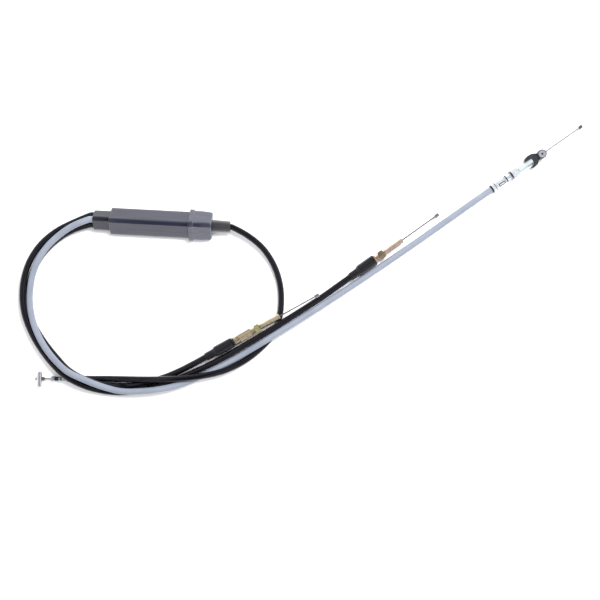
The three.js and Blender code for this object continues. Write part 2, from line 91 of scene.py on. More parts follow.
# Oil pump fitting, along its own axis
PUMP_BODY_R = 4.5
PUMP_THREAD = {"start": 19.0, "end": 32.6, "radius": 2.9}
PUMP_NUT = {"start": 26.7, "end": 32.4, "flats": 8.8}
NUT_BORE_R = 3.05
SLOT = {"start": 8.2, "end": 15.4, "half_width": 1.6, "line": 0.8, "turn": 21.0}

# Lever fitting, along its own axis
BARREL_AT = 27.5
BARREL_LENGTH = 14.9
BARREL_R = 2.9

# Clip, in the pump fitting's axes
CLIP_BARREL_AT = 60.8
CLAW_HALF_THICKNESS = 2.8


# ---- Mesh helpers ----

def fillet(corners, radius, steps=4, closed=False):
    """Rounds the corners of a line of (x, r) points. A corner may carry its own radius as a third value."""
    out = []
    count = len(corners)
    for i, corner in enumerate(corners):
        p = Vector(corner[:2])
        r = corner[2] if len(corner) > 2 else radius
        if not closed and i in (0, count - 1):
            out.append(tuple(p))
            continue
        before = Vector(corners[i - 1][:2]) - p
        after = Vector(corners[(i + 1) % count][:2]) - p
        turn = before.angle(after, math.pi)
        if r <= 0 or turn > math.radians(176):
            out.append(tuple(p))
            continue
        reach = min(r / math.tan(turn / 2), 0.48 * before.length, 0.48 * after.length)
        a = p + before.normalized() * reach
        b = p + after.normalized() * reach
        for k in range(steps + 1):
            t = k / steps
            out.append(tuple((1 - t) ** 2 * a + 2 * t * (1 - t) * p + t ** 2 * b))
    return out


def grid_mesh(name, rings, loop=False):
    """A closed mesh from rings of equal size. A ring that shrinks to one point becomes a pole."""
    rings = np.asarray(rings, float) * MM
    count, sides = rings.shape[:2]
    verts = []
    index = []
    for ring in rings:
        if np.ptp(ring, axis=0).max() < 1e-9:
            index.append([len(verts)] * sides)
            verts.append(ring[0])
        else:
            index.append(list(range(len(verts), len(verts) + sides)))
            verts.extend(ring)
    faces = []
    spans = count if loop else count - 1
    for i in range(spans):
        a, b = index[i], index[(i + 1) % count]
        for j in range(sides):
            k = (j + 1) % sides
            quad = [a[j], a[k], b[k], b[j]]
            face = [v for n, v in enumerate(quad) if v != quad[n - 1]]
            if len(face) > 2:
                faces.append(face)
    mesh = bpy.data.meshes.new(name)
    mesh.from_pydata([tuple(v) for v in verts], [], faces)
    return mesh


def face_outward(mesh):
    shell = bmesh.new()
    shell.from_mesh(mesh)
    bmesh.ops.recalc_face_normals(shell, faces=shell.faces)
    if shell.calc_volume(signed=True) < 0:
        bmesh.ops.reverse_faces(shell, faces=shell.faces)
    shell.to_mesh(mesh)
    shell.free()


def smooth(mesh, angle=32):
    mesh.shade_smooth()
    mesh.set_sharp_from_angle(angle=math.radians(angle))


def spun(name, rows, sides=48, loop=False):
    """A solid about the X axis from (x, radius) rows; a radius or x may be one value per side."""
    theta = np.arange(sides) * 2 * math.pi / sides
    rings = []
    for x, r in rows:
        x = np.broadcast_to(np.asarray(x, float), sides)
        rings.append(np.stack([x, r * np.cos(theta), r * np.sin(theta)], axis=1))
    mesh = grid_mesh(name, rings, loop)
    face_outward(mesh)
    return mesh


def lathe(name, corners, radius, sides=48):
    """A solid of revolution; its corners are rounded. With no point on the axis it's a ring with a bore."""
    loop = min(corner[1] for corner in corners) > 1e-6
    return spun(name, fillet(corners, radius, closed=loop), sides, loop)


def hexagon_rows(x0, x1, flats, sides=96):
    """Rows for a hexagonal bar with a corner upwards, its two ends turned back by a 28 degree chamfer."""
    theta = np.arange(sides) * 2 * math.pi / sides
    away = (theta + math.pi / 6) % (math.pi / 3) - math.pi / 6
    corner_r = flats / math.sqrt(3)
    face_r = flats / 2 * 0.97
    outline = np.minimum(flats / 2 / np.cos(away), corner_r * 0.985)
    depth = (corner_r - face_r) * math.tan(math.radians(28))
    shares = [k / 5 for k in range(6)]
    chamfer = [(depth * t, np.minimum(outline, face_r + (corner_r - face_r) * t)) for t in shares]
    rows = [(x0 + inward, ring) for inward, ring in chamfer]
    rows += [(x1 - inward, ring) for inward, ring in reversed(chamfer)]
    return rows


def thread_rows(x0, x1, radius, depth=0.26, pitch=1.0, sides=32, per_pitch=6):
    """Rows for a helical thread whose crest is at radius; it fades out at both ends."""
    theta = np.arange(sides) / sides
    count = int(round((x1 - x0) / pitch * per_pitch))
    rows = []
    for i in range(count + 1):
        x = x0 + (x1 - x0) * i / count
        phase = (x / pitch - theta) % 1.0
        tooth = np.clip(1.35 * (1 - np.abs(2 * phase - 1)) - 0.15, 0, 1)
        fade = min(1.0, (x - x0) / (0.8 * pitch), (x1 - x) / (0.8 * pitch))
        rows.append((x, radius - depth * (1 - tooth) * fade))
    return rows


def strand_rows(x0, x1, radius, depth=0.14, strands=6, lay=9.0, step=0.5, sides=36):
    """Rows for a twisted wire: the outline has one lobe per strand and turns as it goes."""
    theta = np.arange(sides) * 2 * math.pi / sides
    count = max(2, int((x1 - x0) / step))
    rows = [(x0, 0.0)]
    for i in range(count + 1):
        x = x0 + (x1 - x0) * i / count
        lobes = np.abs(np.cos(strands / 2 * (theta - 2 * math.pi * x / lay)))
        rows.append((x, radius * (1 - depth + depth * lobes)))
    rows.append((x1, 0.0))
    return rows


def lobed_outline(dims, inset=0.0, per_arc=12, per_flat=6):
    """A round-cornered triangle with its apex up, as (y, z) points about its centroid.

    Its lower corners have the radius corner and stand spread apart. Its sides reach up to a circle of
    radius apex, moved along Y by lean. The top is rounded over on the +Y side by an arc of radius crown,
    and meets the -Y side in a narrow ridge.
    """
    corner, spread, apex, crown = (dims[key] for key in ("corner", "spread", "apex", "crown"))
    reach = spread / math.sqrt(3)
    circles = [
        (np.array([dims["lean"], reach + corner - apex]), apex - inset),
        (np.array([-spread / 2, -reach / 2]), corner - inset),
        (np.array([spread / 2, -reach / 2]), corner - inset),
    ]
    normals = []
    for i, (centre, radius) in enumerate(circles):
        other, other_radius = circles[(i + 1) % 3]
        along = other - centre
        lean = math.acos((radius - other_radius) / np.linalg.norm(along))
        normals.append(math.atan2(along[1], along[0]) - lean)
    points = []
    for i, (centre, radius) in enumerate(circles):
        start, end = normals[i - 1], normals[i]
        end += 2 * math.pi * math.ceil((start - end) / (2 * math.pi))
        if i == 0:
            start, end = start % (2 * math.pi), end % (2 * math.pi)
            near_lean = math.tan((math.pi / 2 - start) / 2)
            far_lean = math.tan((end - math.pi / 2) / 2)
            over = min(crown - inset, radius * (1 + 0.8 * far_lean / near_lean))
            blunt = min(RIDGE, 0.12 * radius)
            middle = centre + np.array([(radius - over) * near_lean, radius - over])
            for k in range(per_arc - 1):
                angle = start + (math.pi / 2 - start) * k / (per_arc - 2)
                points.append(middle + over * np.array([math.cos(angle), math.sin(angle)]))
            ridge = centre + np.array([-radius * far_lean, radius])
            points.append(ridge + blunt * np.array([0.35, -0.3]))
            points.append(ridge + blunt * np.array([-math.sin(end), math.cos(end)]))
        else:
            for k in range(per_arc + 1):
                angle = start + (end - start) * k / per_arc
                points.append(centre + radius * np.array([math.cos(angle), math.sin(angle)]))
        other, other_radius = circles[(i + 1) % 3]
        landing = other + other_radius * np.array([math.cos(end), math.sin(end)])
        for k in range(1, per_flat):
            points.append(points[-1] + (landing - points[-1]) / (per_flat - k + 1))
    return np.array(points)


# ---- Placing and joining ----

def piece(name, mesh, body, material, nodes, matrix=None):
    """A shown piece: placed by matrix, riding on a CAD body and standing for the named CAD nodes."""
    obj = bpy.data.objects.new(name, mesh)
    bpy.context.scene.collection.objects.link(obj)
    if matrix is not None:
        obj.matrix_world = matrix
    mesh.materials.clear()
    mesh.materials.append(material)
    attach(obj, body)
    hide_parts(*nodes)


def combined(name, mesh, others, operation):
    """A boolean of mesh with each of the others, as a new mesh."""
    scene = bpy.context.scene
    base = bpy.data.objects.new(name, mesh)
    scene.collection.objects.link(base)
    tools = []
    for other in others:
        tool = bpy.data.objects.new(name + "_tool", other)
        scene.collection.objects.link(tool)
        tools.append(tool)
        step = base.modifiers.new("step", "BOOLEAN")
        step.operation = operation
        step.solver = "EXACT"
        step.object = tool
    bpy.context.view_layer.update()
    evaluated = base.evaluated_get(bpy.context.evaluated_depsgraph_get())
    result = bpy.data.meshes.new_from_object(evaluated)
    result.name = name
    for obj in [base, *tools]:
        bpy.data.objects.remove(obj)
    return result


# ---- Cable paths, read from the frame ----

def ring_centres(cable):
    """Centres of the CAD conduit's cross-sections, in order from the junction box outwards."""
    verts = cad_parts[f"{cable}_conduit"].data.vertices
    points = np.array([v.co for v in verts]) / MM
    left = np.ones(len(points), bool)
    centres = []
    while left.any():
        near = left & (np.linalg.norm(points - points[left][0], axis=1) < 5.0)
        centres.append(points[near].mean(axis=0))
        left &= ~near
    centres = np.array(centres)
    box_end = np.array([LEVER_SEAT_X if cable == "lever" else OUTPUT_SEAT_X, 0, AXIS_Z])
    order = [int(np.argmin(np.linalg.norm(centres - box_end, axis=1)))]
    rest = set(range(len(centres))) - set(order)
    while rest:
        here = centres[order[-1]]
        nearest = min(rest, key=lambda i: np.linalg.norm(centres[i] - here))
        order.append(nearest)
        rest.remove(nearest)
    return centres[order]


def spline_points(knots, step):
    """Points about step apart on a centripetal spline through the knots."""
    out = []
    padded = [2 * knots[0] - knots[1], *knots, 2 * knots[-1] - knots[-2]]
    for i in range(1, len(padded) - 2):
        p = padded[i - 1:i + 3]
        t = [0.0]
        for a, b in zip(p, p[1:]):
            t.append(t[-1] + np.linalg.norm(b - a) ** 0.5)
        count = max(2, int(round(np.linalg.norm(p[2] - p[1]) / step)))
        for k in range(count):
            u = t[1] + (t[2] - t[1]) * k / count
            a1 = p[0] + (p[1] - p[0]) * (u - t[0]) / (t[1] - t[0])
            a2 = p[1] + (p[2] - p[1]) * (u - t[1]) / (t[2] - t[1])
            a3 = p[2] + (p[3] - p[2]) * (u - t[2]) / (t[3] - t[2])
            b1 = a1 + (a2 - a1) * (u - t[0]) / (t[2] - t[0])
            b2 = a2 + (a3 - a2) * (u - t[1]) / (t[3] - t[1])
            out.append(b1 + (b2 - b1) * (u - t[1]) / (t[2] - t[1]))
    out.append(knots[-1])
    return np.array(out)


def cable_path(cable):
    """Smooth centreline, with the first and last spans held straight."""
    knots = ring_centres(cable)
    head = [knots[0] + (knots[1] - knots[0]) * t for t in (0, 0.4, 0.8, 0.985)]
    tail = [knots[-2] + (knots[-1] - knots[-2]) * t for t in (0.25, 0.6, 1)]
    return spline_points([*head, *knots[1:-1], *tail], PATH_STEP)


def carried_frames(path):
    """A sideways and an upward unit vector at each point of a path, turning as little as possible."""
    tangent = np.gradient(path, axis=0)
    tangent /= np.linalg.norm(tangent, axis=1)[:, None]
    up = np.array([0.0, 0.0, 1.0])
    sides, ups = [], []
    for t in tangent:
        up = up - t * (up @ t)
        up /= np.linalg.norm(up)
        sides.append(np.cross(t, up))
        ups.append(up)
    return np.array(sides), np.array(ups)


def swept(name, path, outer, bore, sides=28):
    """A tube along a path; outer and bore are its radii."""
    side, up = carried_frames(path)
    theta = np.arange(sides) * 2 * math.pi / sides

    def rings(radius, order):
        spokes = [np.outer(np.cos(theta), side[i]) + np.outer(np.sin(theta), up[i]) for i in order]
        return [path[i] + radius * spoke for i, spoke in zip(order, spokes)]

    forward = range(len(path))
    backward = range(len(path) - 1, -1, -1)
    mesh = grid_mesh(name, rings(outer, forward) + rings(bore, backward), loop=True)
    face_outward(mesh)
    smooth(mesh, 50)
    return mesh


PATHS = {cable: cable_path(cable) for cable in CABLES}


def end_matrix(cable):
    """The frame of a cable's end fitting: X outwards along it, Y level, Z up; in metres."""
    rings = ring_centres(cable)
    tip = Vector(rings[-1])
    x = (tip - Vector(rings[-2])).normalized()
    y = Vector((0, 0, 1)).cross(x).normalized()
    z = x.cross(y)
    matrix = Matrix((x, y, z)).transposed().to_4x4()
    matrix.translation = (tip - x * SEATED_AT[cable]) * MM
    return matrix


END = {cable: end_matrix(cable) for cable in CABLES}
BOX_AXIS = Matrix.Translation((0, 0, AXIS_Z * MM))


def lobe_matrix(cable):
    """Where an outgoing cable's lobe of the box stands, with X along the box."""
    angle = math.radians(LOBE_ANGLES[cable])
    return Matrix.Translation((0, LOBE_R * math.cos(angle) * MM, (AXIS_Z + LOBE_R * math.sin(angle)) * MM))


# ---- Materials ----

class Nodes:
    """A short way to wire a procedural material."""

    def __init__(self, name):
        self.material = bpy.data.materials.new(name)
        self.material.use_nodes = True
        self.tree = self.material.node_tree
        self.bsdf = self.tree.nodes["Principled BSDF"]
        self.coords = self.tree.nodes.new("ShaderNodeTexCoord").outputs["Object"]

    def add(self, kind, **values):
        node = self.tree.nodes.new(kind)
        for key, value in values.items():
            if key in node.inputs:
                node.inputs[key].default_value = value
            else:
                setattr(node, key, value)
        return node

    def link(self, output, to):
        self.tree.links.new(output, to)

    def stretched(self, scale):
        node = self.add("ShaderNodeMapping")
        node.inputs["Scale"].default_value = scale
        self.link(self.coords, node.inputs["Vector"])
        return node.outputs["Vector"]

    def noise(self, scale, detail, stretch=None):
        node = self.add("ShaderNodeTexNoise", Scale=scale, Detail=detail, Roughness=0.55)
        self.link(self.stretched(stretch) if stretch else self.coords, node.inputs["Vector"])
        return node.outputs["Fac"]

    def ramp(self, factor, stops):
        node = self.add("ShaderNodeValToRGB")
        bar = node.color_ramp
        while len(bar.elements) < len(stops):
            bar.elements.new(0.5)
        for element, (place, colour) in zip(bar.elements, stops):
            element.position = place
            element.color = (*colour, 1)
        self.link(factor, node.inputs["Fac"])
        return node.outputs["Color"]

    def spread(self, factor, low, high, start=0.3, end=0.7):
        node = self.add("ShaderNodeMapRange")
        node.inputs["From Min"].default_value = start
        node.inputs["From Max"].default_value = end
        node.inputs["To Min"].default_value = low
        node.inputs["To Max"].default_value = high
        self.link(factor, node.inputs["Value"])
        return node.outputs["Result"]

    def mix(self, factor, a, b, blend="MIX"):
        node = self.add("ShaderNodeMix", data_type="RGBA", blend_type=blend)
        for value, socket in ((factor, node.inputs[0]), (a, node.inputs[6]), (b, node.inputs[7])):
            if isinstance(value, bpy.types.NodeSocket):
                self.link(value, socket)
            elif isinstance(value, tuple):
                socket.default_value = (*value, 1)
            else:
                socket.default_value = value
        return node.outputs[2]

    def bump(self, height, strength, distance, after=None):
        node = self.add("ShaderNodeBump", Strength=strength, Distance=distance)
        self.link(height, node.inputs["Height"])
        if after is not None:
            self.link(after, node.inputs["Normal"])
        return node.outputs["Normal"]

    def edges(self, low, high):
        """1 on convex edges and 0 on flats."""
        geometry = self.add("ShaderNodeNewGeometry")
        return self.spread(geometry.outputs["Pointiness"], 0, 1, low, high)

    def below_radius(self, radius, end):
        """1 where the surface is nearer to the X axis than radius, up to end along X, in millimetres."""
        split = self.add("ShaderNodeSeparateXYZ")
        self.link(self.coords, split.inputs[0])
        flat = self.add("ShaderNodeVectorMath", operation="MULTIPLY")
        self.link(self.coords, flat.inputs[0])
        flat.inputs[1].default_value = (0, 1, 1)
        away = self.add("ShaderNodeVectorMath", operation="LENGTH")
        self.link(flat.outputs["Vector"], away.inputs[0])
        deep = self.spread(away.outputs["Value"], 1, 0, (radius - 0.1) * MM, (radius + 0.1) * MM)
        before = self.spread(split.outputs["X"], 1, 0, (end - 0.1) * MM, (end + 0.1) * MM)
        return self.mix(1.0, deep, before, "MULTIPLY")

    def finish(self, colour, roughness, normal=None, **values):
        self.link(colour, self.bsdf.inputs["Base Color"])
        self.link(roughness, self.bsdf.inputs["Roughness"])
        if normal is not None:
            self.link(normal, self.bsdf.inputs["Normal"])
        for key, value in values.items():
            self.bsdf.inputs[key.replace("_", " ")].default_value = value
        return self.material


def moulded(name, dark, light, rough=(0.38, 0.5), grain=2600, wear_and_highlight_edges=True, shine=0.5, tint=(1, 1, 1)):
    """Injection-moulded plastic: fine spark-eroded grain, faint flow marks, and convex edges lightened
    partly as wear and partly as a painted edge highlight.
    """
    n = Nodes(name)
    flow = n.noise(60, 5, stretch=(0.35, 1, 1))
    colour = n.ramp(flow, [(0.3, dark), (0.7, light)])
    # Convex edges are lightened: partly wear, partly a painted edge highlight.
    if wear_and_highlight_edges:
        worn_and_highlit = tuple(min(1, c * 2.0 + 0.03) for c in light)
        colour = n.mix(n.edges(0.53, 0.6), colour, worn_and_highlit)
    scuffs = n.noise(420, 6, stretch=(0.12, 1, 1))
    roughness = n.spread(scuffs, *rough)
    normal = n.bump(n.noise(grain, 3), 0.18, 0.00006)
    normal = n.bump(flow, 0.25, 0.0003, normal)
    streaks = n.noise(900, 4, stretch=(0.03, 1, 1))
    n.link(n.spread(streaks, shine * 0.78, shine * 1.25), n.bsdf.inputs["Specular IOR Level"])
    return n.finish(colour, roughness, normal, Specular_Tint=(*tint, 1))


def clip_moulding(name, dark, light):
    """Black acetal whose standing barrel has its upward end face painted pale, a painted highlight where
    the light from above falls.
    """
    n = Nodes(name)
    colour = n.ramp(n.noise(300, 4), [(0.3, dark), (0.7, light)])
    # Painted highlight: the barrel's upward end face is painted pale, as if lit from above.
    split = n.add("ShaderNodeSeparateXYZ")
    n.link(n.coords, split.inputs[0])
    top = n.spread(split.outputs["Z"], 0, 1, 5.9 * MM, 6.3 * MM)
    flat = n.add("ShaderNodeVectorMath", operation="MULTIPLY")
    n.link(n.coords, flat.inputs[0])
    flat.inputs[1].default_value = (1, 1, 0)
    away = n.add("ShaderNodeVectorMath", operation="DISTANCE")
    n.link(flat.outputs["Vector"], away.inputs[0])
    away.inputs[1].default_value = (CLIP_BARREL_AT * MM, 0, 0)
    lit_end_face = n.spread(away.outputs["Value"], 1, 0, 3.4 * MM, 3.9 * MM)
    colour = n.mix(n.mix(1.0, top, lit_end_face, "MULTIPLY"), colour, (0.25, 0.26, 0.3))
    roughness = n.spread(n.noise(500, 3), 0.34, 0.5)
    return n.finish(colour, roughness, n.bump(n.noise(1500, 3), 0.2, 0.00008), Specular_IOR_Level=0.7)


def extruded(name, dark, light, rough, mark=0.0, mark_colour=(0, 0, 0)):
    """Extruded cable jacket: faint patches, dust, and cross marks where it was coiled."""
    n = Nodes(name)
    patches = n.noise(45, 4)
    colour = n.ramp(patches, [(0.32, dark), (0.68, light)])
    dust = tuple(min(1, c * 1.6 + 0.04) for c in light)
    colour = n.mix(n.spread(n.noise(1500, 2), 0, 0.35, 0.66, 0.74), colour, dust)
    if mark:
        cross = n.noise(900, 3, stretch=(1, 1, 0.2))
        colour = n.mix(n.spread(cross, 0, mark, 0.62, 0.7), colour, mark_colour)
    roughness = n.spread(n.noise(240, 5), *rough)
    normal = n.bump(n.noise(160, 4), 0.3, 0.00025)
    normal = n.bump(n.noise(2400, 2), 0.08, 0.00005, normal)
    return n.finish(colour, roughness, normal, Specular_IOR_Level=0.4)


def turned_metal(
    name, stops, rough=(0.22, 0.36), line_bump=0.12, blotch=180, metallic=1.0, painted_recess_shade=0.3, grooves=None
):
    """Plated metal turned about its X axis: fine rings, blotchy plating and painted shade in its recesses.

    The pair grooves is a radius and a distance along X: the metal is painted dark below the one, up to the
    other, as painted shade in its grooves and recessed steps.
    """
    n = Nodes(name)
    blotches = n.noise(blotch, 5)
    colour = n.ramp(blotches, stops)
    geometry = n.add("ShaderNodeNewGeometry")
    # Painted shade: concave places, found by pointiness, are darkened towards near-black.
    recess_shade_mask = n.spread(geometry.outputs["Pointiness"], painted_recess_shade, 0, 0.43, 0.49)
    colour = n.mix(recess_shade_mask, colour, (0.02, 0.02, 0.024))
    if grooves:
        # Painted shade: the surface inside the grooves' radius is painted dark.
        colour = n.mix(n.below_radius(*grooves), colour, (0.05, 0.055, 0.07))
    rings = n.noise(2600, 2, stretch=(1, 0.02, 0.02))
    roughness = n.spread(n.noise(500, 4), *rough)
    normal = n.bump(rings, line_bump, 0.00005)
    normal = n.bump(n.noise(700, 3), 0.1, 0.0001, normal)
    return n.finish(colour, roughness, normal, Metallic=metallic)


def translucent(name, dark, light, rim):
    """Milky nylon: soft inside, with painted shade that greys it where it's seen edge on."""
    n = Nodes(name)
    colour = n.ramp(n.noise(220, 4, stretch=(0.4, 1, 1)), [(0.3, dark), (0.7, light)])
    # Painted shade: the colour turns to the rim colour where the surface is seen edge on.
    facing = n.add("ShaderNodeLayerWeight", Blend=0.35).outputs["Facing"]
    colour = n.mix(n.spread(facing, 0, 1, 0.35, 0.95), colour, rim)
    roughness = n.spread(n.noise(600, 3), 0.22, 0.36)
    normal = n.bump(n.noise(300, 3), 0.25, 0.0002)
    soft = {"Subsurface_Weight": 0.3, "Subsurface_Scale": 0.0006, "Subsurface_Radius": (1, 1, 1)}
    return n.finish(colour, roughness, normal, IOR=1.5, **soft)


def shades(dark, light):
    """Two colours that a blotchy surface drifts between."""
    return [(0.3, dark), (0.7, light)]


COOL = (0.84, 0.87, 1.0)  # tint of the box's reflections
BRIGHT_ZINC = shades((0.64, 0.69, 0.73), (0.78, 0.82, 0.85))

MAT = {
    "moulded": moulded(
        "moulded_black", (0.0073, 0.008, 0.0173), (0.0147, 0.0153, 0.0293),
        rough=(0.14, 0.26), shine=0.56, tint=COOL,
    ),
    "cap": moulded(
        "moulded_cap", (0.0115, 0.0131, 0.0246), (0.0231, 0.0238, 0.0423),
        rough=(0.14, 0.26), shine=0.85, tint=COOL,
    ),
    "sleeve": moulded(
        "sleeve_rubber", (0.0035, 0.0035, 0.006), (0.008, 0.008, 0.0125),
        rough=(0.13, 0.26), grain=1800, shine=0.56, tint=(0.88, 0.88, 1.0),
    ),
    "nose": moulded(
        "nose_rubber", (0.011, 0.011, 0.015), (0.019, 0.0185, 0.024),
        rough=(0.28, 0.4), grain=1800, shine=1.3,
    ),
    "boot": moulded(
        "boot_rubber", (0.004, 0.004, 0.0055), (0.009, 0.009, 0.0125),
        rough=(0.15, 0.25), grain=1500, shine=0.45,
    ),
    "acetal": moulded("acetal", (0.1143, 0.1214, 0.1357), (0.1571, 0.1643, 0.1786)),
    "liner": moulded("liner_plastic", (0.5, 0.5, 0.4857), (0.6071, 0.6071, 0.5929), wear_and_highlight_edges=False),
    "clip": clip_moulding("clip_plastic", (0.012, 0.013, 0.0175), (0.027, 0.028, 0.035)),
    "black_jacket": extruded(
        "black_jacket", (0.0016, 0.0016, 0.003), (0.0045, 0.0045, 0.008), rough=(0.08, 0.13)
    ),
    "grey_jacket": extruded(
        "grey_jacket", (0.19, 0.2167, 0.2667), (0.24, 0.2667, 0.3233),
        rough=(0.26, 0.4), mark=0.35, mark_colour=(0.1333, 0.1533, 0.2),
    ),
    # Its last colour is the painted shade for where the nylon is seen edge on.
    "nylon": translucent("nylon", (0.34, 0.4, 0.41), (0.42, 0.47, 0.48), (0.06, 0.085, 0.1)),
    "ferrule": turned_metal(
        "ferrule_steel", shades((0.24, 0.29, 0.31), (0.4, 0.46, 0.48)), rough=(0.16, 0.28)
    ),
    "stepped": turned_metal(
        "stepped_steel", shades((0.4, 0.46, 0.48), (0.58, 0.64, 0.66)),
        rough=(0.14, 0.26), grooves=(2.4, 13.0),
    ),
    "dark_ring": turned_metal(
        "dark_steel", shades((0.0462, 0.0538, 0.0692), (0.1, 0.1154, 0.1385)), rough=(0.3, 0.45)
    ),
    "ring": turned_metal("ring_steel", shades((0.12, 0.135, 0.18), (0.22, 0.245, 0.31)), rough=(0.3, 0.45)),
    "chrome": turned_metal(
        "chrome", shades((0.7593, 0.7685, 0.787), (0.8333, 0.8426, 0.8611)),
        rough=(0.06, 0.14), line_bump=0.05,
    ),
    "yellow_zinc": turned_metal(
        "yellow_zinc",
        [
            (0.3, (0.42, 0.32, 0.18)), (0.42, (0.62, 0.5, 0.3)),
            (0.55, (0.7, 0.6, 0.46)), (0.7, (0.5, 0.5, 0.26)),
        ],
        rough=(0.18, 0.3), blotch=260,
    ),
    "green_zinc": turned_metal(
        "green_zinc", [(0.3, (0.42, 0.41, 0.15)), (0.5, (0.6, 0.57, 0.27)), (0.7, (0.72, 0.63, 0.4))],
        rough=(0.18, 0.3), blotch=320,
    ),
    "rose_zinc": turned_metal(
        "rose_zinc", [(0.3, (0.5, 0.36, 0.27)), (0.45, (0.7, 0.54, 0.43)), (0.7, (0.8, 0.66, 0.57))],
        rough=(0.18, 0.3), blotch=260,
    ),
    "brown_zinc": turned_metal(
        "brown_zinc", shades((0.26, 0.19, 0.12), (0.5, 0.4, 0.28)), rough=(0.18, 0.3), blotch=400
    ),
    "silver_zinc": turned_metal("silver_zinc", BRIGHT_ZINC, metallic=0.68, painted_recess_shade=0.5),
    "slotted_zinc": turned_metal(
        "slotted_zinc", BRIGHT_ZINC, metallic=0.68, painted_recess_shade=0.5, grooves=(4.3, 17.2)
    ),
    "wire": turned_metal(
        "wire_steel", shades((0.1, 0.1, 0.105), (0.2, 0.2, 0.205)), rough=(0.34, 0.48), metallic=0.7
    ),
    "bright_wire": turned_metal(
        "bright_wire", shades((0.19, 0.185, 0.18), (0.24, 0.235, 0.23)),
        rough=(0.45, 0.6), metallic=0.2,
    ),
    "solder": turned_metal(
        "solder", shades((0.1231, 0.1231, 0.1308), (0.2462, 0.2462, 0.2615)),
        rough=(0.3, 0.45), blotch=600, metallic=0.85,
    ),
    "nipple": turned_metal("nipple_zinc", shades((0.34, 0.34, 0.36), (0.58, 0.58, 0.6)), blotch=700),
    "wound": turned_metal(
        "wound_steel", shades((0.2308, 0.2308, 0.2385), (0.3462, 0.3462, 0.3538)), rough=(0.3, 0.45)
    ),
}


# ---- Junction box ----

def lofted(name, sections):
    """A closed solid through (x, outline, z shift) sections, with flat ends."""
    rings = []
    for x, outline, rise in sections:
        rings.append(np.column_stack([np.full(len(outline), x), outline[:, 0], outline[:, 1] + rise]))
    first = np.repeat(rings[0].mean(axis=0)[None, :], len(rings[0]), axis=0)
    last = np.repeat(rings[-1].mean(axis=0)[None, :], len(rings[-1]), axis=0)
    mesh = grid_mesh(name, [first, *rings, last])
    face_outward(mesh)
    return mesh


def prism_sections(dims, z, stations, end_scale=1.0):
    """Sections of a lobed prism at (x, inset) stations, z up; it shrinks evenly to end_scale."""
    sections = []
    for x, inset in stations:
        share = (x - dims["start"]) / (dims["end"] - dims["start"])
        scale = 1 + (end_scale - 1) * share
        outline = lobed_outline(dims, inset) * scale
        sections.append((x, outline, z * scale))
    return sections


def rounded_end(x, edge, towards, steps=5):
    """Stations that round over an end face at x; towards is 1 for the far end and -1 for the near one."""
    out = []
    for k in range(steps + 1):
        a = math.pi / 2 * k / steps
        out.append((x - towards * edge * (1 - math.sin(a)), edge * (1 - math.cos(a))))
    return out if towards > 0 else out[::-1]


def cable_holes(x0, x1, radius):
    """Cutters for the holes the three outgoing cables leave by."""
    holes = []
    for cable in OUTPUTS:
        hole = lathe("hole", [(x0, 0), (x0, radius), (x1, radius), (x1, 0)], 0.0, 32)
        hole.transform(lobe_matrix(cable))
        holes.append(hole)
    return holes


def box_bore(x0, x1, radius):
    """A cutter along the box's axis."""
    bore = lathe("bore", [(x0, 0), (x0, radius), (x1, radius), (x1, 0)], 0.0)
    bore.transform(BOX_AXIS)
    return bore


def build_body():
    stations = rounded_end(BODY["start"], 0.9, -1) + [(x, 0.0) for x in (-30, 0, 30)]
    stations += rounded_end(BODY["end"], 0.6, 1)
    body = lofted("body", prism_sections(BODY, AXIS_Z, stations))
    spigot = lathe("spigot", [(30, 0), (30, SPIGOT_R), (SPIGOT_END, SPIGOT_R), (SPIGOT_END, 0)], 0.3)
    spigot.transform(BOX_AXIS)
    body = combined("body", body, [spigot], "UNION")
    cutters = [box_bore(-31, SPIGOT_END + 1, SLIDER_BORE_R), *cable_holes(-42, -30.5, FERRULE_SEAT_R)]
    body = combined("splitter_body_shell", body, cutters, "DIFFERENCE")
    smooth(body, 22)
    piece("splitter_body_shell", body, "housing", MAT["moulded"], ["splitter_body"])


def build_sleeve():
    stations = rounded_end(SLEEVE["start"], 0.6, -1) + [(-50, 0.0), (-45, 0.0)]
    stations += rounded_end(SLEEVE["end"], 0.3, 1)
    sleeve = lofted("sleeve", prism_sections(SLEEVE, AXIS_Z, stations))
    sleeve = combined("outlet_sleeve_moulding", sleeve, cable_holes(-60, -37, CABLE_HOLE_R), "DIFFERENCE")
    smooth(sleeve, 22)
    piece("outlet_sleeve_moulding", sleeve, "housing", MAT["sleeve"], ["outlet_sleeve"])


def build_cap():
    """The cap: a rim round its near end, a shallow groove behind it, then walls that narrow evenly."""
    base = CAP["corner"] + CAP["spread"] / (2 * math.sqrt(3))
    stations = rounded_end(CAP["start"], 0.7, -1)
    stations += [(41, 0.0), (43, 0.0), (43.6, 0.2), (44.0, 0.7), (44.8, 1.0), (46, 0.85)]
    stations += [(50, 0.45), (55, 0.3)]
    stations += [(x, inset + 0.3) for x, inset in rounded_end(CAP["end"], 2.2, 1, 7)]
    cap = lofted("cap", prism_sections(CAP, base, stations, CAP_TAPER))
    cutters = [box_bore(38, SPIGOT_END + 0.4, SPIGOT_R + 0.2), box_bore(46, 64, NOSE_R + 0.15)]
    cap = combined("splitter_cap_moulding", cap, cutters, "DIFFERENCE")
    smooth(cap, 22)
    piece("splitter_cap_moulding", cap, "housing", MAT["cap"], ["splitter_cap"])


def build_nose():
    outline = [(47.1, 3.3), (47.1, NOSE_R), (62, NOSE_R), (79.3, 5.6), (80, 5.65), (80, 3.3)]
    nose = lathe("inlet_nose_rubber", outline, 0.3, 64)
    smooth(nose)
    piece("inlet_nose_rubber", nose, "housing", MAT["nose"], ["inlet_nose"], BOX_AXIS)


# ---- Cables ----

